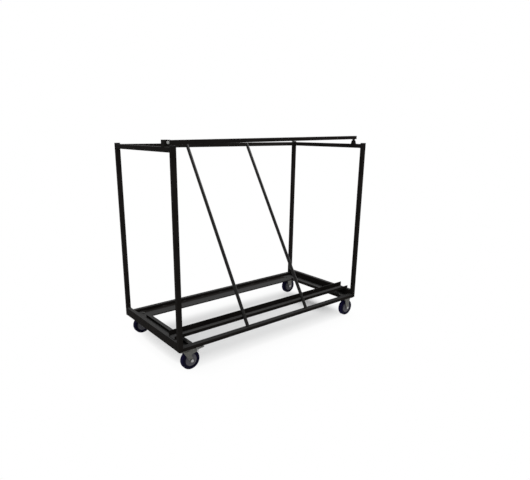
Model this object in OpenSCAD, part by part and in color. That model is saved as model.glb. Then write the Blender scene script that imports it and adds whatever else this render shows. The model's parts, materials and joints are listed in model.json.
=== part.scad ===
// Banquet table trolley: a wheeled rack that holds folding tables on end in three bays.
// Millimetres. X runs along the length, Y from front to back, Z up from the floor.

/* [Frame] */
// Length over the corner posts
frame_l = 1700; // [1400:10:2000]
// Depth over the corner posts
frame_d = 800; // [660:10:940]
// Height from the underside of the base to the tops of the posts
post_h = 1264; // [1000:2:1500]
// Side of the square tube of the posts and top rails
post_w = 30; // [30:1:36]
// Wall of every frame tube
tube_t = 2; // [1.5:0.5:2.5]
// Outer corner radius of every frame tube
tube_r = 3; // [1:0.5:4]
// Distance from the top of a post down to the top rails
rail_drop = 8; // [4:1:30]

/* [Base] */
// Height of the two end tubes
end_tube_h = 60; // [50:1:70]
// Depth of the front sill tube
sill_d = 40; // [34:1:50]
// Height of the front sill tube
sill_h = 25; // [20:1:30]
// Width of the raised bars on the ledges at the two ends
ledge_bar_w = 28; // [20:1:36]
// Width of the flat ledge at the back
ledge_back_w = 122; // [80:1:150]
// Thickness of the flat ledges and of the plates in the feet of the posts
ledge_t = 6; // [4:0.5:7]

/* [Table channel] */
// Gap between the lip of the channel and the brace rods
channel_gap = 0.8; // [0.4:0.1:20]
// Width of the channel over its lip and upstand
channel_w = 76; // [60:1:100]
// Height of the front lip
lip_h = 25; // [15:1:35]
// Height of the back upstand
upstand_h = 40; // [20:1:60]
// Thickness of the channel sheet
channel_t = 3; // [2:0.5:4]
// Outside radius of the channel bends
bend_r = 6; // [5:0.5:10]
// Distance from the ends of the frame to the ends of the channel
channel_inset = 12; // [5:1:20]

/* [Brace rods] */
// Diameter of the two slanting rods
rod_d = 25; // [20:1:28]
// Distance between the two rods
rod_pitch = 574; // [450:2:650]
// Distance from the front of the frame to the feet of the rods
rod_setback = 20; // [18:1:22]

/* [Front bar] */
// Side of the square tube of the bar
bar_w = 25; // [20:1:30]
// Distance from the front of the frame to the middle of the bar
bar_setback = 106; // [70:1:140]
// Distance from the end of the frame to the pivot
pivot_inset = 24; // [24:1:40]
// Gap between the bar and the left top rail at the pivot
bar_left_gap = 12; // [9:0.5:14]
// Gap between the bar and the right top rail at the peg
bar_right_gap = 35; // [30:1:60]
// Diameter of the pivot bolt
pivot_d = 10; // [8:1:12]
// Length of the pivot bracket along the bar
bracket_l = 44; // [40:1:70]
// Thickness of the pivot bracket
bracket_t = 4; // [3:0.5:5]
// Height of the bracket above the bar
bracket_over = 2.5; // [2:0.5:8]
// Diameter of the peg under the bar
peg_d = 20; // [16:0.5:21]
// Diameter of the foot of the peg socket
socket_d = 40; // [36:1:46]
// Diameter of the top of the peg socket
socket_top_d = 30; // [29:0.5:34]
// Height of the peg socket
socket_h = 25; // [15:1:28]

/* [Castors] */
// Diameter of the wheels
wheel_d = 132; // [110:1:140]
// Width of the tyres
wheel_w = 38; // [32:1:40]
// Height of a castor above its wheel
castor_head = 24; // [24:0.5:32]
// Distance the axle of a swivel castor trails behind its kingpin
castor_trail = 38; // [32:1:44]
// Distance from the plate bolts to the edges of a castor plate
plate_edge = 11.5; // [10:0.5:14]
// Thickness of a castor plate
plate_t = 4; // [3:0.5:5]
// Spacing of the plate bolts along the frame
bolt_dx = 88; // [84:0.5:92]
// Spacing of the plate bolts across the frame
bolt_dy = 60; // [56:1:62]
// Diameter of the axle bolts
axle_d = 12; // [10:0.5:13]
// Diameter of the kingpins
kingpin_d = 12; // [10:0.5:13]
// Diameter of the race balls
ball_d = 6; // [5:0.5:6.5]

/* [Brakes] */
// Angle a brake pedal is pressed through
brake_travel = 8; // [4:1:9]
// Length of a brake pedal from its pin
pedal_l = 56; // [40:1:64]
// Width of the foot of a brake pedal
pedal_w = 46; // [36:1:52]

/* [Fits] */
// Radial clearance of a turning shaft
run_fit = 0.05; // [0.02:0.01:0.1]
// Gap between faces that pass each other
pass_gap = 0.4; // [0.3:0.05:0.5]
// Radial clearance of the peg in its socket
peg_clear = 1.5; // [1:0.1:2]

/* [Hidden] */
$fn = 48;
eps = 0.5;

castor_h = wheel_d + castor_head;
base_z = castor_h;
half_l = frame_l / 2;
half_d = frame_d / 2;
rail_top = base_z + post_h - rail_drop;
rail_z = rail_top - post_w;

cap_t = 3;
cap_plug = 14;
plug_gap = 0.2;

bolt_d = 8;
bolt_af = 13;
bolt_head = 5.3;
nut_h = 6.5;
bolt_tail = 1.5;
hole_gap = 0.4;
bolt_x = post_w * 2 / 3;
bolt_y = post_w / 2;
castor_in_x = bolt_x + bolt_dx / 2;
end_ledge_w = bolt_x + bolt_dx + ledge_bar_w / 2 - post_w;
castor_in_y = bolt_y + bolt_dy / 2;
plate_l = bolt_dx + 2 * plate_edge;
plate_w = bolt_dy + 2 * plate_edge;

channel_z = base_z + end_tube_h;

rod_foot = [rod_setback - half_d, base_z + sill_h];
rod_head = [half_d - post_w, rail_top - rod_d];
rod_run = rod_head - rod_foot;
rod_lean = atan2(rod_run[0], rod_run[1]);
rod_span = norm(rod_run);
lip_rise = end_tube_h + lip_h - sill_h;
lip_clear = (lip_rise * sin(rod_lean) + rod_d / 2 + channel_gap) / cos(rod_lean);
channel_y = rod_setback + lip_clear - half_d;

pivot_x = pivot_inset - half_l;
pivot_z = rail_top + bar_left_gap + bar_w / 2;
bar_y = bar_setback - half_d;
bar_reach = frame_l - pivot_inset;
peg_reach = bar_reach - socket_d / 2;
bar_tilt = asin((bar_right_gap - bar_left_gap) / peg_reach);
bar_swing = min(bar_left_gap + bar_w / 2, pivot_inset - bracket_t) - pass_gap;
bar_tail = sqrt(pow(bar_swing, 2) - pow(bar_w / 2, 2));
bar_right = (bar_reach - bar_w / 2 * sin(bar_tilt)) / cos(bar_tilt);
peg_x = (peg_reach - bar_right_gap * sin(bar_tilt)) / cos(bar_tilt);
peg_drop = pivot_z - rail_top + (peg_x - peg_d / 2) * sin(bar_tilt) - pass_gap;
peg_l = peg_drop / cos(bar_tilt) - bar_w / 2;
socket_x = half_l - socket_d / 2;
cheek_gap = 0.5;
bracket_h = bar_left_gap + bar_w + bracket_over;
bracket_out = bar_w / 2 + cheek_gap + bracket_t;
sleeve_wall = 2.5;
pivot_af = 17;
pivot_head = 6.4;
pivot_nut_h = 8;

axle_z = wheel_d / 2;
crown_z = wheel_d + 6;
crown_t = 5;
crown_r = 36;
race_gap = 2;
ball_z = crown_z + crown_t + race_gap / 2;
ball_count = 10;
race_r = 27;
boss_r = 33;
boss_in_r = 18;
fork_in = wheel_w / 2 + 4;
fork_t = 3;
fork_out = fork_in + fork_t;
cheek_top = crown_z + crown_t - 1;
cheek_half = 24;
fork_eye_r = 15;
strap_tuck = 0.4;
leg_half = 32;
pin_head_d = 22;
kingpin_af = 19;
kingpin_nut_h = 6.5;
axle_af = 19;
axle_head = 6;
axle_nut_h = 8;
axle_tail = 2;

rim_r = wheel_d / 2 - 18;
rim_in_r = rim_r - 5;
rim_half = wheel_w / 2 - 4;
rim_web = 9;
rim_rib = 5;
rib_count = 6;
hub_r = 17;
hub_half = fork_in - pass_gap;
bush_r = 10;
tread_r = 9;

brake_r = wheel_d / 2 + 10;
brake_a = 55;
brake_pin = [castor_trail + brake_r * cos(brake_a), axle_z + brake_r * sin(brake_a)];
brake_pin_d = 6;
brake_hub_r = 7;
brake_eye_r = 8;
brake_pin_head = 2;
brake_head_d = 12;
pad_a = brake_a - 9;
pad_l = 24;
pad_t = 5;
pad_half = wheel_w / 2 - 3;
pedal_t = 4;
pedal_step = brake_eye_r + 2;
ridge_w = 3;
ridge_h = 1.5;
ridge_count = 3;

CORNERS = [
    ["front_left", -1, -1],
    ["front_right", 1, -1],
    ["back_left", -1, 1],
    ["back_right", 1, 1]
];
SWIVELS = [for (c = CORNERS) if (c[1] < 0) c];
FIXED = [for (c = CORNERS) if (c[1] > 0) c];

FRAME_BLACK = [0.07, 0.065, 0.06];
CAP_BLACK = [0.04, 0.04, 0.045];
ZINC = [0.62, 0.63, 0.64];
STEEL = [0.75, 0.75, 0.76];
RIM_GREY = [0.38, 0.39, 0.4];
TYRE_NAVY = [0.05, 0.05, 0.12];
BUSH_WHITE = [0.85, 0.84, 0.8];

// Centre of a castor plate and of its axle
function castor_x(c) = c[1] * (half_l - castor_in_x);
function castor_y(c) = c[2] * (half_d - castor_in_y);
function axle_x(c) = castor_x(c) + (c[1] < 0 ? castor_trail : 0);

// Point where the line from p touches the circle at c with radius r
function touch(p, c, r, side) =
    let (d = c - p, far = norm(d), turn = atan2(d[1], d[0]) + side * asin(r / far))
    p + sqrt(far * far - r * r) * [cos(turn), sin(turn)];

module rounded_rect(w, h, r) {
    translate([-w / 2, r - h / 2]) square([w, h - 2 * r]);
    translate([r - w / 2, -h / 2]) square([w - 2 * r, h]);
    for (x = [-1, 1], y = [-1, 1])
        translate([x * (w / 2 - r), y * (h / 2 - r)]) circle(r = r);
}

// Hollow tube along Z from the origin, w wide in X and h in Y
module tube(w, h, l) {
    difference() {
        linear_extrude(l) rounded_rect(w, h, tube_r);
        translate([tube_t - w / 2, tube_t - h / 2, -eps])
            cube([w - 2 * tube_t, h - 2 * tube_t, l + 2 * eps]);
    }
}

// Tube centred along X, w wide in Y and h tall
module tube_x(w, h, l) {
    translate([-l / 2, 0, 0]) rotate([90, 0, 90]) tube(w, h, l);
}

// Tube centred along Y, w wide in X and h tall
module tube_y(w, h, l) {
    translate([0, l / 2, 0]) rotate([90, 0, 0]) tube(w, h, l);
}

module hex(af, h) {
    rotate(30) cylinder(d = af / cos(30), h = h, $fn = 6);
}

// Outline laid in X and Z, centred on Y with the given thickness
module upright(half) {
    translate([0, half, 0]) rotate([90, 0, 0]) linear_extrude(2 * half) children();
}

module at_corner(c) {
    translate([c[1] * half_l, c[2] * half_d, base_z]) children();
}

module post(c) {
    color(FRAME_BLACK)
        at_corner(c)
            translate([-c[1] * post_w / 2, -c[2] * post_w / 2, 0])
                tube(post_w, post_w, post_h - cap_t);
}

module post_caps() {
    plug = post_w - 2 * tube_t - 2 * plug_gap;
    color(CAP_BLACK)
        for (c = CORNERS)
            at_corner(c)
                translate([-c[1] * post_w / 2, -c[2] * post_w / 2, post_h - cap_t]) {
                    linear_extrude(cap_t) rounded_rect(post_w, post_w, tube_r);
                    translate([-plug / 2, -plug / 2, -cap_plug]) cube([plug, plug, cap_plug + eps]);
                }
}

module foot_plates() {
    inside = post_w - 2 * tube_t;
    color(FRAME_BLACK)
        difference() {
            for (c = CORNERS)
                at_corner(c)
                    translate([-c[1] * post_w / 2 - inside / 2, -c[2] * post_w / 2 - inside / 2, 0])
                        cube([inside, inside, ledge_t]);
            castor_holes();
        }
}

module end_tube(side) {
    color(FRAME_BLACK)
        difference() {
            translate([side * (half_l - post_w / 2), 0, base_z + end_tube_h / 2])
                tube_y(post_w, end_tube_h, frame_d - 2 * post_w);
            castor_holes();
        }
}

module back_tube() {
    color(FRAME_BLACK)
        difference() {
            translate([0, half_d - post_w / 2, base_z + post_w / 2])
                tube_x(post_w, post_w, frame_l - 2 * post_w);
            castor_holes();
        }
}

module front_sill() {
    color(FRAME_BLACK)
        difference() {
            translate([0, sill_d / 2 - half_d, base_z + sill_h / 2])
                tube_x(sill_d, sill_h, frame_l - 2 * post_w);
            castor_holes();
        }
}

// Flat ledge inside an end tube, with a raised bar along its inner edge up to the back ledge
module end_ledge(side) {
    depth = frame_d - sill_d - post_w;
    color(FRAME_BLACK)
        difference() {
            translate([side * (half_l - post_w - end_ledge_w / 2), sill_d - half_d, base_z]) {
                translate([-end_ledge_w / 2, 0, 0]) cube([end_ledge_w, depth, ledge_t]);
                translate([-side * (end_ledge_w - ledge_bar_w) / 2 - ledge_bar_w / 2, 0, 0])
                    cube([ledge_bar_w, depth - ledge_back_w, sill_h]);
            }
            castor_holes();
        }
}

module ledge_back() {
    length = frame_l - 2 * (post_w + end_ledge_w);
    color(FRAME_BLACK)
        translate([-length / 2, half_d - post_w - ledge_back_w, base_z])
            cube([length, ledge_back_w, ledge_t]);
}

// Quarter of a bent corner, centred on its bend line
module bend(turn) {
    rotate(turn)
        intersection() {
            difference() {
                circle(r = bend_r);
                circle(r = bend_r - channel_t);
            }
            square(bend_r);
        }
}

module table_channel() {
    length = frame_l - 2 * channel_inset;
    color(FRAME_BLACK)
        translate([-length / 2, channel_y, channel_z])
            rotate([90, 0, 90])
                linear_extrude(length) {
                    translate([bend_r, 0]) square([channel_w - 2 * bend_r, channel_t]);
                    translate([0, bend_r]) square([channel_t, lip_h - bend_r]);
                    translate([channel_w - channel_t, bend_r]) square([channel_t, upstand_h - bend_r]);
                    translate([bend_r, bend_r]) bend(180);
                    translate([channel_w - bend_r, bend_r]) bend(270);
                }
}

module top_rail(side) {
    color(FRAME_BLACK)
        translate([side * (half_l - post_w / 2), 0, rail_z + post_w / 2])
            tube_y(post_w, post_w, frame_d - 2 * post_w);
}

module top_rail_back() {
    color(FRAME_BLACK)
        translate([0, half_d - post_w / 2, rail_z + post_w / 2])
            tube_x(post_w, post_w, frame_l - 2 * post_w);
}

module brace_rod(side) {
    color(FRAME_BLACK)
        translate([side * rod_pitch / 2, 0, 0])
            intersection() {
                translate([0, rod_foot[0], rod_foot[1]])
                    rotate([-rod_lean, 0, 0])
                        translate([0, 0, -2 * rod_d]) cylinder(d = rod_d, h = rod_span + 4 * rod_d);
                translate([-rod_d, -half_d, rod_foot[1]])
                    cube([2 * rod_d, frame_d - post_w, rail_top - rod_foot[1]]);
            }
}

module bar_bracket() {
    color(FRAME_BLACK)
        translate([-half_l, bar_y, rail_top])
            difference() {
                translate([0, -bracket_out, 0]) cube([bracket_l, 2 * bracket_out, bracket_h]);
                translate([bracket_t, bracket_t - bracket_out, -eps])
                    cube([bracket_l, 2 * (bracket_out - bracket_t), bracket_h + 2 * eps]);
                translate([pivot_inset, -bracket_out - eps, pivot_z - rail_top])
                    rotate([-90, 0, 0]) cylinder(d = pivot_d + 2 * run_fit, h = 2 * bracket_out + 2 * eps);
            }
}

module pivot_bolt() {
    color(ZINC)
        translate([pivot_x, bar_y - bracket_out, pivot_z])
            rotate([-90, 0, 0]) {
                translate([0, 0, -pivot_head]) hex(pivot_af, pivot_head);
                translate([0, 0, -eps])
                    cylinder(d = pivot_d, h = 2 * bracket_out + pivot_nut_h + bolt_tail + eps);
            }
}

module pivot_nut() {
    color(ZINC)
        translate([pivot_x, bar_y + bracket_out, pivot_z])
            rotate([-90, 0, 0])
                difference() {
                    hex(pivot_af, pivot_nut_h);
                    translate([0, 0, -eps]) cylinder(d = pivot_d + 2 * run_fit, h = pivot_nut_h + 2 * eps);
                }
}

module bar_socket() {
    color(FRAME_BLACK)
        translate([socket_x, bar_y, rail_top])
            difference() {
                cylinder(d1 = socket_d, d2 = socket_top_d, h = socket_h);
                translate([0, 0, -eps]) cylinder(d = peg_d + 2 * peg_clear, h = socket_h + 2 * eps);
            }
}

// Places its children in the frame of the bar: X along the bar from the pivot
module on_bar() {
    translate([pivot_x, bar_y, pivot_z]) rotate([0, -bar_tilt, 0]) children();
}

module retaining_bar() {
    color(FRAME_BLACK)
        on_bar()
            difference() {
                translate([(bar_right - bar_tail) / 2, 0, 0])
                    tube_x(bar_w, bar_w, bar_right + bar_tail - 2 * cap_t);
                translate([0, -bar_w, 0])
                    rotate([-90, 0, 0]) cylinder(d = pivot_d + 2 * sleeve_wall, h = 2 * bar_w);
            }
}

module bar_sleeve() {
    color(STEEL)
        on_bar()
            translate([0, -bar_w / 2, 0])
                rotate([-90, 0, 0])
                    difference() {
                        cylinder(d = pivot_d + 2 * sleeve_wall, h = bar_w);
                        translate([0, 0, -eps]) cylinder(d = pivot_d + 2 * run_fit, h = bar_w + 2 * eps);
                    }
}

module bar_cap(reach) {
    plug = bar_w - 2 * tube_t - 2 * plug_gap;
    rotate([90, 0, 90]) linear_extrude(cap_t) rounded_rect(bar_w, bar_w, tube_r);
    translate([-reach, -plug / 2, -plug / 2]) cube([reach + eps, plug, plug]);
}

module bar_caps() {
    color(CAP_BLACK)
        on_bar() {
            translate([bar_right - cap_t, 0, 0]) bar_cap(cap_plug);
            translate([cap_t - bar_tail, 0, 0]) rotate(180) bar_cap(cap_t / 2);
        }
}

module bar_peg() {
    color(STEEL)
        on_bar() translate([peg_x, 0, -bar_w / 2 - peg_l]) cylinder(d = peg_d, h = peg_l);
}

// Bolt axes of all castor plates, as corner signs, setbacks and seat height
function bolt_seats() = [
    for (c = CORNERS, ix = [0, 1], iy = [0, 1])
        let (plate_seat = (ix == 1 && c[2] < 0) ? sill_h : ledge_t, seat = (ix == iy) ? plate_seat : tube_t)
        [c[1] * (half_l - bolt_x - ix * bolt_dx), c[2] * (half_d - bolt_y - iy * bolt_dy), seat]
];

module castor_holes() {
    for (b = bolt_seats())
        translate([b[0], b[1], base_z - plate_t - eps])
            cylinder(d = bolt_d + 2 * hole_gap, h = plate_t + b[2] + 2 * eps);
}

module castor_bolts() {
    color(ZINC)
        for (b = bolt_seats())
            translate([b[0], b[1], base_z - plate_t]) {
                translate([0, 0, -bolt_head]) hex(bolt_af, bolt_head);
                translate([0, 0, -eps]) cylinder(d = bolt_d, h = plate_t + b[2] + nut_h + bolt_tail + eps);
            }
}

module castor_nuts() {
    color(ZINC)
        for (b = bolt_seats())
            translate([b[0], b[1], base_z + b[2]])
                difference() {
                    hex(bolt_af, nut_h);
                    translate([0, 0, -eps]) cylinder(d = bolt_d + 2 * run_fit, h = nut_h + 2 * eps);
                }
}

module at_castor(c) {
    translate([castor_x(c), castor_y(c), 0]) children();
}

// Groove of the ball race, with room for the balls
module race() {
    translate([0, 0, ball_z])
        rotate_extrude() translate([race_r, 0]) circle(d = ball_d + pass_gap);
}

module countersink(gap) {
    translate([0, 0, castor_h - plate_t])
        cylinder(d1 = kingpin_d + 2 * gap, d2 = pin_head_d + 2 * gap, h = plate_t);
}

module flat_plate(c) {
    translate([castor_x(c) - plate_l / 2, castor_y(c) - plate_w / 2, castor_h - plate_t])
        cube([plate_l, plate_w, plate_t]);
}

module castor_plate(c) {
    boss_z = ball_z + race_gap / 2;
    color(ZINC)
        difference() {
            union() {
                flat_plate(c);
                at_castor(c) translate([0, 0, boss_z]) cylinder(r = boss_r, h = castor_h - plate_t / 2 - boss_z);
            }
            at_castor(c) {
                race();
                countersink(run_fit);
                translate([0, 0, boss_z - eps]) cylinder(r = boss_in_r, h = castor_h - plate_t - boss_z + eps);
            }
            castor_holes();
        }
}

module kingpin(c) {
    low = crown_z - kingpin_nut_h - pass_gap - bolt_tail;
    color(STEEL)
        at_castor(c) {
            countersink(0);
            translate([0, 0, low]) cylinder(d = kingpin_d, h = castor_h - plate_t / 2 - low);
        }
}

module kingpin_nuts() {
    color(ZINC)
        for (c = SWIVELS)
            at_castor(c)
                translate([0, 0, crown_z - kingpin_nut_h - pass_gap])
                    difference() {
                        hex(kingpin_af, kingpin_nut_h);
                        translate([0, 0, -eps])
                            cylinder(d = kingpin_d + 2 * run_fit, h = kingpin_nut_h + 2 * eps);
                    }
}

module swivel_balls() {
    color(STEEL)
        for (c = SWIVELS, i = [0 : ball_count - 1])
            at_castor(c)
                rotate(i * 360 / ball_count) translate([race_r, 0, ball_z]) sphere(d = ball_d);
}

// Tapered strap outline from two points down to an eye
module strap(p, q, eye, r) {
    polygon([p, touch(p, eye, r - strap_tuck, -1), eye, touch(q, eye, r - strap_tuck, 1), q]);
    translate(eye) circle(r = r);
}

module swivel_cheek() {
    eye = [castor_trail, axle_z];
    difference() {
        union() {
            strap([-cheek_half, cheek_top], [cheek_half, cheek_top], eye, fork_eye_r);
            strap([0, axle_z + wheel_d / 4], [cheek_half, cheek_top], brake_pin, brake_eye_r);
        }
        translate(eye) circle(d = axle_d + 2 * run_fit);
        translate(brake_pin) circle(d = brake_pin_d + 2 * run_fit);
    }
}

module swivel_fork(c) {
    color(ZINC)
        at_castor(c)
            difference() {
                union() {
                    translate([0, 0, crown_z]) cylinder(r = crown_r, h = crown_t);
                    for (s = [-1, 1])
                        translate([0, s * (fork_in + fork_t / 2), 0]) upright(fork_t / 2) swivel_cheek();
                }
                translate([0, 0, crown_z - eps])
                    cylinder(d = kingpin_d + 2 * run_fit, h = crown_t + 2 * eps);
                race();
            }
}

module brake_pin(c) {
    color(STEEL)
        at_castor(c)
            translate([brake_pin[0], 0, brake_pin[1]])
                rotate([90, 0, 0]) {
                    cylinder(d = brake_pin_d, h = 2 * fork_out, center = true);
                    for (s = [-1, 1])
                        translate([0, 0, s * (fork_out + brake_pin_head / 2)])
                            cylinder(d = brake_head_d, h = brake_pin_head, center = true);
                }
}

// Brake pad outline in the pressed position, flat against the tyre of a wheel at the origin
module pad_outline() {
    rotate(pad_a) translate([wheel_d / 2 + pass_gap, -pad_l / 2]) square([pad_t, pad_l]);
}

// Places its children, drawn in the pressed position, at the released position of a pedal
module released() {
    translate(brake_pin) rotate(brake_travel) translate(-brake_pin) children();
}

module brake_pedal(c) {
    color(ZINC)
        at_castor(c)
            difference() {
                union() {
                    upright(pad_half) released() translate([castor_trail, axle_z]) pad_outline();
                    upright(fork_in - pass_gap)
                        released()
                            translate(brake_pin) {
                                circle(r = brake_hub_r);
                                translate([0, -pedal_t / 2]) square([pedal_step + eps, pedal_t]);
                            }
                    upright(pedal_w / 2)
                        released()
                            translate(brake_pin + [pedal_step, -pedal_t / 2])
                                square([pedal_l - pedal_step, pedal_t]);
                    for (i = [1 : ridge_count])
                        upright(pedal_w / 2 - ridge_w)
                            released()
                                translate(brake_pin + [pedal_l - 3 * i * ridge_w, 0])
                                    square([ridge_w, pedal_t / 2 + ridge_h]);
                }
                upright(fork_out) translate(brake_pin) circle(d = brake_pin_d + 2 * run_fit);
            }
}

module fixed_fork(c) {
    top = [leg_half, castor_h - plate_t / 2];
    eye = [0, axle_z];
    color(ZINC)
        difference() {
            union() {
                flat_plate(c);
                at_castor(c)
                    for (s = [-1, 1])
                        translate([0, s * (fork_in + fork_t / 2), 0])
                            upright(fork_t / 2)
                                difference() {
                                    strap([-top[0], top[1]], top, eye, fork_eye_r);
                                    translate(eye) circle(d = axle_d + 2 * run_fit);
                                }
            }
            castor_holes();
        }
}

// Places its children at an axle, with Z along the axle towards the back
module at_axle(c) {
    translate([axle_x(c), castor_y(c), axle_z]) rotate([-90, 0, 0]) children();
}

module axle(c) {
    color(STEEL)
        at_axle(c) {
            translate([0, 0, -fork_out - axle_head]) hex(axle_af, axle_head);
            translate([0, 0, -fork_out - eps])
                cylinder(d = axle_d, h = 2 * fork_out + axle_nut_h + axle_tail + eps);
            translate([0, 0, fork_out])
                difference() {
                    hex(axle_af, axle_nut_h);
                    translate([0, 0, -eps]) cylinder(d = axle_d + 2 * run_fit, h = axle_nut_h + 2 * eps);
                }
        }
}

module wheel_bush(c) {
    color(BUSH_WHITE)
        at_axle(c)
            difference() {
                cylinder(r = bush_r, h = 2 * hub_half, center = true);
                cylinder(d = axle_d + 2 * run_fit, h = 2 * hub_half + 2 * eps, center = true);
            }
}

module wheel_rim(c) {
    color(RIM_GREY)
        at_axle(c)
            difference() {
                union() {
                    cylinder(r = hub_r, h = 2 * hub_half, center = true);
                    cylinder(r = rim_in_r + eps, h = rim_web, center = true);
                    difference() {
                        cylinder(r = rim_r, h = 2 * rim_half, center = true);
                        cylinder(r = rim_in_r, h = 2 * rim_half + eps, center = true);
                    }
                    for (i = [0 : rib_count - 1])
                        rotate(i * 360 / rib_count)
                            translate([hub_r - eps, -rim_rib / 2, -rim_half + rim_rib / 2])
                                cube([rim_in_r - hub_r + 2 * eps, rim_rib, 2 * rim_half - rim_rib]);
                }
                cylinder(r = bush_r, h = 2 * hub_half + 2 * eps, center = true);
            }
}

module tyre(c) {
    depth = wheel_d / 2 - rim_r;
    color(TYRE_NAVY)
        at_axle(c)
            rotate_extrude()
                intersection() {
                    translate([rim_r, -wheel_w / 2]) square([depth, wheel_w]);
                    union() {
                        translate([0, -wheel_w / 2]) square([wheel_d / 2 - tread_r, wheel_w]);
                        translate([0, tread_r - wheel_w / 2]) square([wheel_d / 2, wheel_w - 2 * tread_r]);
                        for (s = [-1, 1])
                            translate([wheel_d / 2 - tread_r, s * (wheel_w / 2 - tread_r)]) circle(r = tread_r);
                    }
                }
}

post_caps();
foot_plates();
end_tube(-1);  // end_tube_left
end_tube(1);  // end_tube_right
back_tube();
front_sill();
end_ledge(-1);  // ledge_left
end_ledge(1);  // ledge_right
ledge_back();
table_channel();
top_rail(-1);  // top_rail_left
top_rail(1);  // top_rail_right
top_rail_back();
brace_rod(-1);  // brace_rod_left
brace_rod(1);  // brace_rod_right
bar_bracket();
pivot_bolt();
pivot_nut();
bar_socket();
retaining_bar();
bar_sleeve();
bar_caps();
bar_peg();
castor_bolts();
castor_nuts();
swivel_balls();
kingpin_nuts();
for (c = SWIVELS) {
    castor_plate(c);
    kingpin(c);
    swivel_fork(c);
    brake_pin(c);
    brake_pedal(c);
}
for (c = FIXED) {
    fixed_fork(c);
}
for (c = CORNERS) {
    post(c);
    axle(c);
    wheel_bush(c);
    wheel_rim(c);
    tyre(c);
}
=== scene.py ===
"""Looks of the banquet table trolley: materials for every CAD node, weld seams, castor details and studio."""
import json
import math

import bmesh
import bpy
from mathutils import Matrix, Vector


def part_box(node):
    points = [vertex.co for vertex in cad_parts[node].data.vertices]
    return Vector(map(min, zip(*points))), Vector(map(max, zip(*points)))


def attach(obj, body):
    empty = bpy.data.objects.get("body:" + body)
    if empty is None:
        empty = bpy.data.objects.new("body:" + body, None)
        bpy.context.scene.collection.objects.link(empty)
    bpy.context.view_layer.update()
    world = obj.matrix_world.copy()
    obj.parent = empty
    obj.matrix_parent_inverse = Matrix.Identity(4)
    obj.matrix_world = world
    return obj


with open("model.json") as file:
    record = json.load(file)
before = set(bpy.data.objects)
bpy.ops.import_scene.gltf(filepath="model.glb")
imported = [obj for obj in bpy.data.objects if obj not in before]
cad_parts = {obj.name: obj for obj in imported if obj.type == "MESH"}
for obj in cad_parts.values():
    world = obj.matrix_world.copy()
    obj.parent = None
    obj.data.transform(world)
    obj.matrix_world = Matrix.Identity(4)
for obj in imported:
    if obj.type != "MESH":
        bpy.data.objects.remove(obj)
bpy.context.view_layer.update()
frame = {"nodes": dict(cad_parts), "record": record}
nodes = frame["nodes"]
record = frame["record"]


# Sizes and places of the CAD nodes, in metres

def low_corner(node):
    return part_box(node)[0]


def high_corner(node):
    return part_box(node)[1]


def extent(node):
    return high_corner(node) - low_corner(node)


def centre_of(node):
    return (low_corner(node) + high_corner(node)) / 2


HALF_L = high_corner("post_back_right").x
HALF_D = high_corner("post_back_right").y
POST = extent("post_back_right").x
INNER_X = HALF_L - POST
INNER_Y = HALF_D - POST
END_TOP = high_corner("end_tube_left").z
SILL_TOP = high_corner("front_sill").z
SILL_BACK = high_corner("front_sill").y
BACK_TOP = high_corner("back_tube").z
LEDGE_TOP = high_corner("ledge_back").z
LEDGE_FRONT = low_corner("ledge_back").y
LEDGE_DEPTH = extent("ledge_back").y
LEDGE_END = high_corner("ledge_back").x
RAIL_TOP = high_corner("top_rail_left").z
RAIL_LOW = low_corner("top_rail_left").z
CHANNEL_END = high_corner("table_channel").x
CHANNEL_FRONT = low_corner("table_channel").y
CHANNEL_BACK = high_corner("table_channel").y
ROD_X = centre_of("brace_rod_right").x
ROD_R = extent("brace_rod_right").x / 2
# From the front of the frame to the middle of a rod's foot, as in the part's source
ROD_SETBACK = 0.020
CORNERS = ("front_left", "front_right", "back_left", "back_right")
SWIVELS = ("front_left", "back_left")
WHEELS = {corner: centre_of("tyre_" + corner) for corner in CORNERS}
WHEEL_R = extent("tyre_front_left").x / 2


# Material helpers

def add(tree, kind, inputs=None, **settings):
    node = tree.nodes.new(kind)
    for name, value in settings.items():
        setattr(node, name, value)
    for name, value in (inputs or {}).items():
        if isinstance(value, bpy.types.NodeSocket):
            tree.links.new(value, node.inputs[name])
        else:
            node.inputs[name].default_value = value
    return node


def material(name):
    mat = bpy.data.materials.new(name)
    mat.use_nodes = True
    tree = mat.node_tree
    tree.nodes.clear()
    shader = add(tree, "ShaderNodeBsdfPrincipled")
    add(tree, "ShaderNodeOutputMaterial", {"Surface": shader.outputs["BSDF"]})
    return mat, tree, shader


def link(tree, shader, **sockets):
    for name, value in sockets.items():
        tree.links.new(value, shader.inputs[name.replace("_", " ")])


def place(tree, centre=(0, 0, 0)):
    """Object coordinates, measured from centre."""
    coord = add(tree, "ShaderNodeTexCoord").outputs["Object"]
    if not any(centre):
        return coord
    return add(tree, "ShaderNodeVectorMath", {0: coord, 1: centre}, operation="SUBTRACT").outputs[0]


def split(tree, vector):
    return add(tree, "ShaderNodeSeparateXYZ", {"Vector": vector}).outputs


def noise(tree, coord, scale, detail=3.0, rough=0.55):
    inputs = {"Vector": coord, "Scale": scale, "Detail": detail, "Roughness": rough}
    return add(tree, "ShaderNodeTexNoise", inputs).outputs["Fac"]


def ramp(tree, value, stops):
    node = add(tree, "ShaderNodeValToRGB", {"Fac": value})
    marks = node.color_ramp.elements
    while len(marks) < len(stops):
        marks.new(0.5)
    for mark, (position, shade) in zip(marks, stops):
        mark.position = position
        mark.color = (*shade, 1.0) if isinstance(shade, tuple) else (shade, shade, shade, 1.0)
    return node.outputs["Color"]


def maths(tree, operation, a, b=0.0):
    return add(tree, "ShaderNodeMath", {0: a, 1: b}, operation=operation).outputs[0]


def plus(tree, a, b):
    return maths(tree, "ADD", a, b)


def minus(tree, a, b):
    return maths(tree, "SUBTRACT", a, b)


def times(tree, a, b):
    return maths(tree, "MULTIPLY", a, b)


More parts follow.
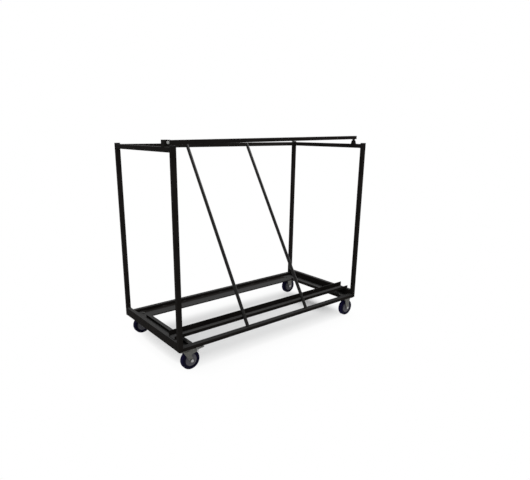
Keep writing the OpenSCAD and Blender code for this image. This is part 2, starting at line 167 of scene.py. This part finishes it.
def length_of(tree, a, b):
    """Length of the hypotenuse over a and b."""
    return maths(tree, "SQRT", plus(tree, times(tree, a, a), times(tree, b, b)))


def mix(tree, share, a, b):
    node = add(tree, "ShaderNodeMix", {"Factor": share}, data_type="RGBA")
    for socket, colour in ((node.inputs[6], a), (node.inputs[7], b)):
        if isinstance(colour, bpy.types.NodeSocket):
            tree.links.new(colour, socket)
        else:
            socket.default_value = (*colour, 1.0)
    return node.outputs[2]


def spread(tree, value, low, high):
    """Takes a value from 0 to 1 to the range from low to high."""
    return add(tree, "ShaderNodeMapRange", {"Value": value, "To Min": low, "To Max": high}).outputs["Result"]


def rounded(tree, radius):
    """The normal of the surface with its edges rounded off."""
    return add(tree, "ShaderNodeBevel", {"Radius": radius}, samples=6).outputs["Normal"]


def worn_edges(tree, soft, low, high):
    """1 along sharp edges and 0 on flats, from the rounded normal."""
    flat = add(tree, "ShaderNodeNewGeometry").outputs["Normal"]
    match = add(tree, "ShaderNodeVectorMath", {0: soft, 1: flat}, operation="DOT_PRODUCT").outputs["Value"]
    return ramp(tree, minus(tree, 1.0, match), [(low, 0.0), (high, 1.0)])


def upward_faces(tree):
    """1 on faces that look up and 0 on walls."""
    normal = add(tree, "ShaderNodeNewGeometry").outputs["Normal"]
    return ramp(tree, split(tree, normal)["Z"], [(0.55, 0.0), (0.95, 1.0)])


def bump(tree, shader, height, depth, normal=None):
    inputs = {"Height": height, "Distance": depth, "Strength": 1.0}
    if normal is not None:
        inputs["Normal"] = normal
    link(tree, shader, Normal=add(tree, "ShaderNodeBump", inputs).outputs["Normal"])


# Materials

RUBBED_COAT = (0.016, 0.015, 0.014)
DUST_AND_SHEEN_TINT = (1.0, 0.98, 0.97)
DRAWN_LINES = (60.0, 900.0, 900.0)
CENTIMETRE = 0.01
RING_WAVES = 2600.0
NAVY_DARK, NAVY_LIGHT = (0.0048, 0.0036, 0.0270), (0.0084, 0.0064, 0.0440)
NAVY_SIDE, NAVY_WORN = (0.0022, 0.0021, 0.0060), (0.016, 0.015, 0.034)


def paint(name, dark, light, rough, gloss, grain, dust_and_sheen_level, band=None):
    """Powder coat: fine orange peel, slow shade changes, rubbed edges, and a lighter film on upward faces
    that is partly dust and partly painted sheen.

    Where a band is given, as its first y, its width and stops across it, the film keeps to it, and the rest
    of the face is left darker as painted shade.
    """
    mat, tree, shader = material(name)
    coord = place(tree)
    slow = noise(tree, coord, 7.0, 4.0)
    dust_and_sheen_noise = noise(tree, coord, 55.0, 5.0, 0.65)
    peel = noise(tree, coord, 950.0, 2.0)
    edge = worn_edges(tree, rounded(tree, 0.0012), 0.02, 0.25)
    tone = ramp(tree, slow, [(0.3, dark), (0.7, light)])
    tone = mix(tree, times(tree, edge, spread(tree, dust_and_sheen_noise, 0.0, 0.3)), tone, RUBBED_COAT)
    # Painted sheen on upward faces, partly dust, patchy with the noise
    dust_and_sheen_mask = times(tree, upward_faces(tree), spread(tree, dust_and_sheen_noise, 0.7, 1.3))
    if band:
        first, width, stops = band
        across = maths(tree, "DIVIDE", minus(tree, split(tree, coord)["Y"], first), width)
        dust_and_sheen_mask = times(tree, dust_and_sheen_mask, ramp(tree, across, stops))
    tone = mix(tree, dust_and_sheen_mask, tone, tuple(dust_and_sheen_level * c for c in DUST_AND_SHEEN_TINT))
    haze = plus(tree, spread(tree, dust_and_sheen_noise, -0.05, 0.06), spread(tree, slow, rough - 0.05, rough + 0.05))
    link(tree, shader, Base_Color=tone, Roughness=haze)
    shader.inputs["Specular IOR Level"].default_value = gloss
    bump(tree, shader, peel, grain)
    return mat


def metal(name, dark, light, rough, cell):
    """Plated or turned steel: crystal cells, fine drawing lines and stains."""
    mat, tree, shader = material(name)
    coord = place(tree)
    cells = add(tree, "ShaderNodeTexVoronoi", {"Vector": coord, "Scale": cell}).outputs["Color"]
    grey = add(tree, "ShaderNodeSeparateColor", {"Color": cells}).outputs[0]
    stain = noise(tree, coord, 38.0, 5.0, 0.6)
    drawn = add(tree, "ShaderNodeVectorMath", {0: coord, 1: DRAWN_LINES}, operation="MULTIPLY").outputs[0]
    lines = noise(tree, drawn, 1.0, 2.0)
    soft = rounded(tree, 0.0008)
    edge = worn_edges(tree, soft, 0.02, 0.3)
    shade = plus(tree, spread(tree, grey, 0.0, 0.55), spread(tree, stain, -0.15, 0.45))
    tone = ramp(tree, shade, [(0.1, dark), (0.9, light)])
    bright = tuple(min(1.0, 1.25 * c) for c in light)
    tone = mix(tree, times(tree, edge, 0.5), tone, bright)
    haze = plus(tree, spread(tree, stain, rough - 0.1, rough + 0.1), spread(tree, lines, -0.04, 0.04))
    link(tree, shader, Base_Color=tone, Roughness=haze)
    shader.inputs["Metallic"].default_value = 1.0
    bump(tree, shader, lines, 0.00004, soft)
    return mat


def plastic(name, dark, light, rough, gloss, grain, centre=(0, 0, 0)):
    """Moulded plastic: fine spark texture, scuffs and pale edges."""
    mat, tree, shader = material(name)
    coord = place(tree, centre)
    slow = noise(tree, coord, 30.0, 4.0)
    spark = noise(tree, coord, 1600.0, 2.0)
    scuff = noise(tree, coord, 140.0, 6.0, 0.7)
    soft = rounded(tree, 0.001)
    edge = worn_edges(tree, soft, 0.02, 0.3)
    tone = ramp(tree, slow, [(0.3, dark), (0.7, light)])
    pale = tuple(min(1.0, 1.6 * c + 0.01) for c in light)
    tone = mix(tree, times(tree, edge, 0.35), tone, pale)
    link(tree, shader, Base_Color=tone, Roughness=spread(tree, scuff, rough - 0.1, rough + 0.12))
    shader.inputs["Specular IOR Level"].default_value = gloss
    bump(tree, shader, spark, grain, soft)
    return mat


def rubber(name, centre):
    """Navy tyre: a mould line round the tread, rings on the sides, and dust where it rolls."""
    mat, tree, shader = material(name)
    coord = place(tree, centre)
    part = split(tree, coord)
    radius = length_of(tree, part["X"], part["Z"])
    off_middle = maths(tree, "ABSOLUTE", part["Y"])
    tread = ramp(tree, maths(tree, "DIVIDE", radius, WHEEL_R), [(0.955, 0.0), (0.99, 1.0)])
    wall = minus(tree, 1.0, tread)
    mould_line = ramp(tree, maths(tree, "DIVIDE", off_middle, CENTIMETRE), [(0.04, 1.0), (0.09, 0.0)])
    rings = maths(tree, "SINE", times(tree, radius, RING_WAVES))
    fine = noise(tree, coord, 700.0, 3.0)
    dusty = noise(tree, coord, 90.0, 6.0, 0.7)
    cloud = noise(tree, coord, 26.0, 3.0)
    tone = ramp(tree, cloud, [(0.3, NAVY_DARK), (0.7, NAVY_LIGHT)])
    tone = mix(tree, tread, mix(tree, 0.7, tone, NAVY_SIDE), tone)
    tone = mix(tree, times(tree, tread, spread(tree, dusty, 0.0, 0.3)), tone, NAVY_WORN)
    haze = plus(tree, spread(tree, dusty, 0.42, 0.58), times(tree, tread, 0.14))
    link(tree, shader, Base_Color=tone, Roughness=haze)
    shader.inputs["Specular IOR Level"].default_value = 0.035
    moulded = plus(tree, times(tree, mould_line, tread), times(tree, times(tree, rings, 0.25), wall))
    bump(tree, shader, plus(tree, times(tree, fine, 0.35), moulded), 0.00015)
    return mat


COAT = {
    "dark": (0.0088, 0.0076, 0.0069),
    "light": (0.0148, 0.0128, 0.0117),
    "rough": 0.55,
    "gloss": 0.008,
    "grain": 0.000012,
}
ROD_COAT = {
    "dark": (0.0062, 0.0056, 0.0052),
    "light": (0.0100, 0.0091, 0.0086),
    "rough": 0.24,
    "gloss": 0.14,
    "grain": 0.000008,
}
CAP = {
    "dark": (0.0050, 0.0050, 0.0053),
    "light": (0.0085, 0.0085, 0.0090),
    "rough": 0.5,
    "gloss": 0.10,
    "grain": 0.00002,
}
BUSH = {
    "dark": (0.55, 0.54, 0.50),
    "light": (0.70, 0.69, 0.65),
    "rough": 0.5,
    "gloss": 0.30,
    "grain": 0.00002,
}
RIM = {
    "dark": (0.060, 0.058, 0.068),
    "light": (0.092, 0.089, 0.104),
    "rough": 0.45,
    "gloss": 0.25,
    "grain": 0.00002,
}
STEEL = {"dark": (0.30, 0.30, 0.305), "light": (0.46, 0.46, 0.455), "rough": 0.30, "cell": 700.0}
# Zinc darker than plain zinc, as painted shade for the castors in the shade under the base
ZINC = {"dark": (0.087, 0.087, 0.081), "light": (0.153, 0.153, 0.140), "rough": 0.44, "cell": 260.0}
# A lighter copy of the zinc for the pivot bolt and the pedals: partly wear, partly painted light on their lit
# faces
WORN_AND_LIT_ZINC = {"dark": (0.22, 0.22, 0.215), "light": (0.36, 0.36, 0.35), "rough": 0.40, "cell": 260.0}
# The back ledge's painted sheen keeps to a band across its depth. The strip by the back tube and the front
# edge stay darker as painted shade, which also makes the ledge look narrower.
LEDGE_SHEEN_BAND = (LEDGE_FRONT, LEDGE_DEPTH, [(0.04, 0.0), (0.10, 1.0), (0.62, 1.0), (0.76, 0.05)])

MATS = {
    "frame_paint": paint("frame_paint", **COAT, dust_and_sheen_level=0.043),
    "sill_paint": paint("sill_paint", **COAT, dust_and_sheen_level=0.027),
    "ledge_paint": paint("ledge_paint", **COAT, dust_and_sheen_level=0.041, band=LEDGE_SHEEN_BAND),
    "rod_paint": paint("rod_paint", **ROD_COAT, dust_and_sheen_level=0.014),
    "cap_plastic": plastic("cap_plastic", **CAP),
    "bright_steel": metal("bright_steel", **STEEL),
    "zinc": metal("zinc", **ZINC),
    "worn_and_lit_zinc": metal("worn_and_lit_zinc", **WORN_AND_LIT_ZINC),
    "bush_plastic": plastic("bush_plastic", **BUSH),
}
for corner, centre in WHEELS.items():
    MATS["tyre_rubber_" + corner] = rubber("tyre_rubber_" + corner, centre)
    MATS["rim_plastic_" + corner] = plastic("rim_plastic_" + corner, **RIM, centre=centre)

# Nodes that look different from the rest of their slot: the sill with less painted sheen on its top, the back
# ledge with its painted sheen kept to a band, and the pivot bolt and pedals in the lighter zinc that is
# partly painted light
OWN = {
    "front_sill": "sill_paint",
    "ledge_back": "ledge_paint",
    "bar_peg": "frame_paint",
    "pivot_bolt": "worn_and_lit_zinc",
    "brake_pedal_front_left": "worn_and_lit_zinc",
    "brake_pedal_back_left": "worn_and_lit_zinc",
}


def mat_for(slot, name):
    """The slot's material at the name's corner where there is one, or else the name's own, or the slot's."""
    corner = next((c for c in CORNERS if name.endswith(c)), "")
    return MATS.get(slot + "_" + corner) or MATS[OWN.get(name, slot)]


for entry in record["subparts"]:
    slots = nodes[entry["node"]].data.materials
    slots.clear()
    slots.append(mat_for(entry["material_slot"], entry["node"]))


# Piece helpers

def mesh_object(name, bm):
    mesh = bpy.data.meshes.new(name)
    bm.to_mesh(mesh)
    bm.free()
    obj = bpy.data.objects.new(name, mesh)
    bpy.context.scene.collection.objects.link(obj)
    return obj


def piece(name, bm, body, slot):
    bmesh.ops.recalc_face_normals(bm, faces=bm.faces)
    obj = mesh_object(name, bm)
    obj.data.polygons.foreach_set("use_smooth", [True] * len(obj.data.polygons))
    obj.data.materials.append(mat_for(slot, name))
    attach(obj, body)


def sweep(start, stop, steps):
    """Evenly spaced angles from start to stop, given in degrees."""
    return [math.radians(start + (stop - start) * k / steps) for k in range(steps + 1)]


def full_turn(steps):
    return sweep(0, 360, steps)[:-1]


RIPPLE = 0.20
END_SIZE, END_GAIN = 0.25, 0.35


def bead(bm, points, size, closed=False, pitch=0.0036, step=0.0012, sides=8):
    """A rippled weld seam swept along a line of points, thinner at open ends."""
    stops = [Vector(p) for p in points]
    if closed:
        stops.append(stops[0])
    path = []
    for a, b in zip(stops, stops[1:]):
        count = max(1, round((b - a).length / step))
        path += [a.lerp(b, i / count) for i in range(count)]
    if not closed:
        path.append(stops[-1])
    last = len(path) - 1
    run = 0.0
    rings = []
    for i, point in enumerate(path):
        if closed:
            along = (path[(i + 1) % len(path)] - path[i - 1]).normalized()
        else:
            along = (path[min(i + 1, last)] - path[max(i - 1, 0)]).normalized()
        run += (point - path[i - 1]).length if i else 0.0
        ripple = 1.0 - RIPPLE + RIPPLE * abs(math.sin(math.pi * run / pitch))
        taper = 1.0 if closed else min(1.0, END_SIZE + END_GAIN * min(i, last - i))
        up = along.orthogonal().normalized()
        across = along.cross(up)
        rings.append([bm.verts.new(point + size * ripple * taper * (math.cos(t) * up + math.sin(t) * across))
                      for t in full_turn(sides)])
    pairs = list(zip(rings, rings[1:]))
    if closed:
        pairs.append((rings[-1], rings[0]))
    for a, b in pairs:
        for k in range(sides):
            bm.faces.new((a[k], a[(k + 1) % sides], b[(k + 1) % sides], b[k]))
    if not closed:
        bm.faces.new(rings[0])
        bm.faces.new(list(reversed(rings[-1])))


def lathe(bm, centre, outline, segments=64):
    """Turns an outline of (radius, y) points round a wheel's axle."""
    rings = [[bm.verts.new(centre + Vector((r * math.cos(t), y, r * math.sin(t)))) for r, y in outline]
             for t in full_turn(segments)]
    for i, a in enumerate(rings):
        b = rings[(i + 1) % segments]
        for k in range(len(outline)):
            j = (k + 1) % len(outline)
            bm.faces.new((a[k], a[j], b[j], b[k]))


# Weld seams: bead radii, stitch lengths and offsets, in metres

TUBE_ROUND, EDGE_GAP, CHEEK_GAP = 0.003, 0.001, 0.002
POST_BEAD, TUBE_BEAD, WALL_BEAD, RAIL_BEAD = 0.0030, 0.0028, 0.0026, 0.0027
LEDGE_BEAD, LEDGE_STITCH = 0.0030, 0.040
JOINT_BEAD, JOINT_STITCH, JOINT_SINK = 0.0016, 0.034, 0.0004
CHANNEL_BEAD, CHANNEL_RISE, BEND_INSET, END_INSET = 0.0024, 0.0008, 0.0045, 0.010
ROD_FOOT_BEAD, ROD_HEAD_BEAD = 0.0026, 0.0024
BRACKET_BEAD, SOCKET_BEAD = 0.0025, 0.0024
# Curved runs: first and last angle in degrees, and the number of steps
FOOT_STEPS = 40
HEAD_ARCH = (-9, 189, 28)
SOCKET_ARC = (-48, 42, 24)
# The step at the top of a rod's head, which its two runs leave out
HEAD_TOP = 14


def row(first, step, count):
    return [first + step * k for k in range(count)]


END_STITCHES = row(-0.300, 0.125, 5)
BACK_STITCHES = row(-0.740, 0.180, 9)
JOINT_STITCHES = row(LEDGE_FRONT + 0.014, 0.060, 2)


def base_seams(bm):
    """The end tubes, the sill and the back tube against the posts."""
    for side in (-1, 1):
        outer, inner = side * (HALF_L - TUBE_ROUND), side * INNER_X
        for y in (-INNER_Y, INNER_Y):
            bead(bm, [(outer, y, END_TOP), (inner, y, END_TOP)], POST_BEAD)
        for edge, wall, top in ((TUBE_ROUND - HALF_D, SILL_BACK, SILL_TOP),
                                (HALF_D - TUBE_ROUND, INNER_Y, BACK_TOP)):
            bead(bm, [(inner, edge, top), (inner, wall, top)], TUBE_BEAD)
            bead(bm, [(inner, wall, top), (inner, wall, LEDGE_TOP)], WALL_BEAD)


def top_seams(bm):
    """The top rails against the posts, above and below."""
    for side in (-1, 1):
        outer, inner = side * (HALF_L - TUBE_ROUND), side * INNER_X
        for level in (RAIL_TOP, RAIL_LOW):
            for y in (-INNER_Y, INNER_Y):
                bead(bm, [(outer, y, level), (inner, y, level)], RAIL_BEAD)
            bead(bm, [(inner, HALF_D - TUBE_ROUND, level), (inner, INNER_Y, level)], RAIL_BEAD)


def ledge_seams(bm):
    """Stitches along the end tubes and the back tube, and over the joints between the ledges."""
    joint_z = LEDGE_TOP - JOINT_SINK
    for side in (-1, 1):
        x = side * INNER_X
        for y in END_STITCHES:
            bead(bm, [(x, y, LEDGE_TOP), (x, y + LEDGE_STITCH, LEDGE_TOP)], LEDGE_BEAD)
        x = side * LEDGE_END
        for y in JOINT_STITCHES:
            bead(bm, [(x, y, joint_z), (x, y + JOINT_STITCH, joint_z)], JOINT_BEAD)
    for x in BACK_STITCHES:
        bead(bm, [(x, INNER_Y, LEDGE_TOP), (x + LEDGE_STITCH, INNER_Y, LEDGE_TOP)], LEDGE_BEAD)


def channel_seams(bm):
    """The table channel on the end tubes: along its two bends and across its end."""
    bend_z = END_TOP + CHANNEL_RISE
    for side in (-1, 1):
        far, near = side * (CHANNEL_END - EDGE_GAP), side * (INNER_X + EDGE_GAP)
        for y in (CHANNEL_FRONT + BEND_INSET, CHANNEL_BACK - BEND_INSET):
            bead(bm, [(far, y, bend_z), (near, y, bend_z)], CHANNEL_BEAD)
        end = side * CHANNEL_END
        first, last = CHANNEL_FRONT + END_INSET, CHANNEL_BACK - END_INSET
        bead(bm, [(end, first, END_TOP), (end, last, END_TOP)], CHANNEL_BEAD)


def rod_seams(bm):
    """A ring round the foot of each rod, and two runs over its head at the back rail."""
    foot = Vector((0.0, ROD_SETBACK - HALF_D, SILL_TOP))
    head = Vector((0.0, INNER_Y, RAIL_TOP - 2 * ROD_R))
    lean = (head - foot).normalized()
    for side in (-1, 1):
        x = side * ROD_X
        ring = [(x + ROD_R * math.cos(t), foot.y + ROD_R / lean.z * math.sin(t), foot.z)
                for t in full_turn(FOOT_STEPS)]
        bead(bm, ring, ROD_FOOT_BEAD, closed=True)
        arch = [(x + ROD_R * math.cos(t), head.y, head.z + ROD_R / lean.y * math.sin(t))
                for t in sweep(*HEAD_ARCH)]
        bead(bm, arch[:HEAD_TOP], ROD_HEAD_BEAD)
        bead(bm, arch[HEAD_TOP + 1:], ROD_HEAD_BEAD)


def bracket_seams(bm):
    """Both cheeks of the pivot bracket and the foot of the peg's socket, where they stand on the rails."""
    low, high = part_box("bar_bracket")
    start, stop = low.x + CHEEK_GAP, low.x + POST - TUBE_ROUND
    for y in (low.y, high.y):
        bead(bm, [(start, y, RAIL_TOP), (stop, y, RAIL_TOP)], BRACKET_BEAD)
    socket = centre_of("bar_socket")
    radius = extent("bar_socket").x / 2
    for side in (-1, 1):
        arc = [(socket.x + radius * math.sin(t), socket.y + side * radius * math.cos(t), RAIL_TOP)
               for t in sweep(*SOCKET_ARC)]
        bead(bm, [p for p in arc if INNER_X + EDGE_GAP < p[0] < HALF_L - TUBE_ROUND], SOCKET_BEAD)


SEAMS = {
    "weld_base": base_seams,
    "weld_top": top_seams,
    "weld_ledges": ledge_seams,
    "weld_channel": channel_seams,
    "weld_rods": rod_seams,
    "weld_bracket": bracket_seams,
}
for name, draw in SEAMS.items():
    bm = bmesh.new()
    draw(bm)
    piece(name, bm, "frame", "frame_paint")


# Castor details, as outlines of (radius, distance from the wheel's middle) in metres

SHIELD = (
    (0.0172, 0.0212), (0.0185, 0.0220), (0.0215, 0.0216), (0.0310, 0.0190),
    (0.0395, 0.0172), (0.0425, 0.0160), (0.0420, 0.0150), (0.0172, 0.0165),
)
LIP = (
    (0.0432, 0.0151), (0.0436, 0.0164), (0.0450, 0.0178), (0.0470, 0.0186),
    (0.0492, 0.0189), (0.0500, 0.0182), (0.0492, 0.0151),
)
WHEEL_TRIM = (("hub_shield", SHIELD, "rim_plastic"), ("tyre_lip", LIP, "tyre_rubber"))
SEAL_R, SEAL_SIZE, SEAL_STEPS = 0.0338, 0.00075, 90

for corner, centre in WHEELS.items():
    for side, word in ((-1, "front"), (1, "back")):
        for kind, outline, slot in WHEEL_TRIM:
            bm = bmesh.new()
            lathe(bm, centre, [(r, side * y) for r, y in outline])
            piece("_".join((kind, word, corner)), bm, "wheel_" + corner, slot)

race_z = centre_of("swivel_balls").z
for corner in SWIVELS:
    plate = centre_of("castor_plate_" + corner)
    ring = [(plate.x + SEAL_R * math.cos(t), plate.y + SEAL_R * math.sin(t), race_z)
            for t in full_turn(SEAL_STEPS)]
    bm = bmesh.new()
    bead(bm, ring, SEAL_SIZE, closed=True, pitch=1.0, sides=6)
    piece("race_seal_" + corner, bm, "frame", "cap_plastic")


# Floor: white to the camera and in reflections, except in a patch under the base where the white is left off,
# so that the floor's own grey colour shows there as painted shade, with the real shadow on it

FLOOR_HALF = 14.0
WHITE = (1.0, 1.0, 1.0, 1.0)
# Middle, half size and soft edge of the painted shade patch under the base, along x and along y
SHADE_PATCH = ((0.04, 0.72, 0.12), (0.025, 0.125, 0.29))
SHADE_PATCH_FADE = [(0.0, 0.04), (0.10, 0.30), (0.35, 0.70), (0.50, 0.94), (0.75, 1.0)]


def seen_rays(tree):
    """1 for rays from the camera, reflections and transmission, 0 for the rest."""
    rays = add(tree, "ShaderNodeLightPath").outputs
    passed_on = maths(tree, "MAXIMUM", rays["Is Glossy Ray"], rays["Is Transmission Ray"])
    return maths(tree, "MAXIMUM", rays["Is Camera Ray"], passed_on)


def off_shade_patch(tree, coord):
    """0 in the painted shade patch under the base, 0.5 at the end of its soft edge, and more beyond."""
    past = []
    for axis, (middle, half, soft) in zip(split(tree, coord), SHADE_PATCH):
        away = maths(tree, "ABSOLUTE", minus(tree, axis, middle))
        past.append(maths(tree, "DIVIDE", maths(tree, "MAXIMUM", minus(tree, away, half), 0.0), soft))
    return times(tree, length_of(tree, *past), 0.5)


def floor_white():
    mat, tree, shader = material("floor_white")
    coord = place(tree)
    link(tree, shader, Base_Color=ramp(tree, noise(tree, coord, 3.0), [(0.3, 0.615), (0.7, 0.63)]))
    shader.inputs["Roughness"].default_value = 0.9
    shader.inputs["Specular IOR Level"].default_value = 0.1
    # Off the patch the floor glows white; in it the grey floor colour is left as painted shade
    fade = times(tree, seen_rays(tree), ramp(tree, off_shade_patch(tree, coord), SHADE_PATCH_FADE))
    glow = add(tree, "ShaderNodeEmission", {"Color": WHITE, "Strength": 1.0})
    both = add(tree, "ShaderNodeMixShader", {0: fade, 1: shader.outputs["BSDF"], 2: glow.outputs[0]})
    tree.links.new(both.outputs[0], tree.nodes["Material Output"].inputs["Surface"])
    return mat


bm = bmesh.new()
bmesh.ops.create_grid(bm, x_segments=1, y_segments=1, size=FLOOR_HALF)
floor = mesh_object("floor", bm)
floor.data.materials.append(floor_white())


# Light

FILL, FILL_STRENGTH = (0.98, 0.99, 1.0, 1.0), 0.60

world = bpy.data.worlds.new("studio")
bpy.context.scene.world = world
world.use_nodes = True
tree = world.node_tree
tree.nodes.clear()
fill = add(tree, "ShaderNodeBackground", {"Color": FILL, "Strength": FILL_STRENGTH})
white = add(tree, "ShaderNodeBackground", {"Color": WHITE, "Strength": 1.0})
both = add(tree, "ShaderNodeMixShader", {0: seen_rays(tree), 1: fill.outputs[0], 2: white.outputs[0]})
add(tree, "ShaderNodeOutputWorld", {"Surface": both.outputs[0]})


def lamp(name, spot, aim, width, watts):
    data = bpy.data.lights.new(name, "AREA")
    data.shape = "DISK"
    data.size = width
    data.energy = watts
    obj = bpy.data.objects.new(name, data)
    obj.location = spot
    obj.rotation_euler = (Vector(aim) - Vector(spot)).to_track_quat("-Z", "Y").to_euler()
    bpy.context.scene.collection.objects.link(obj)


lamp("key", (0.35, -0.45, 5.0), (0.0, 0.0, 0.2), 4.0, 105.0)
lamp("side", (2.2, -0.6, 3.2), (0.0, 0.0, 0.8), 1.8, 60.0)


# The photograph's camera: image, lens and optical centre in pixels, place in metres, angles in degrees

IMAGE_W, IMAGE_H = 530.0, 480.0
FOCAL = 455.4
CENTRE_X, CENTRE_Y = 246.7, 260.0
EYE = (-2.1200, -2.6964, 1.4966)
YAW, PITCH, ROLL = -38.14, -15.703, 0.365
SENSOR = 36.0

camera = bpy.data.cameras.new("camera")
camera.sensor_fit = "HORIZONTAL"
camera.sensor_width = SENSOR
camera.lens = SENSOR * FOCAL / IMAGE_W
camera.shift_x = (IMAGE_W / 2 - CENTRE_X) / IMAGE_W
camera.shift_y = (CENTRE_Y - IMAGE_H / 2) / IMAGE_W
camera.clip_end = 60.0
view = bpy.data.objects.new("camera", camera)
view.location = EYE
turn = Matrix.Rotation(math.radians(YAW), 3, "Z")
tip = Matrix.Rotation(math.radians(90.0 + PITCH), 3, "X")
roll = Matrix.Rotation(math.radians(ROLL), 3, "Z")
view.rotation_euler = (turn @ tip @ roll).to_euler()
bpy.context.scene.collection.objects.link(view)
bpy.context.scene.camera = view
bpy.context.scene.view_settings.view_transform = "Standard"
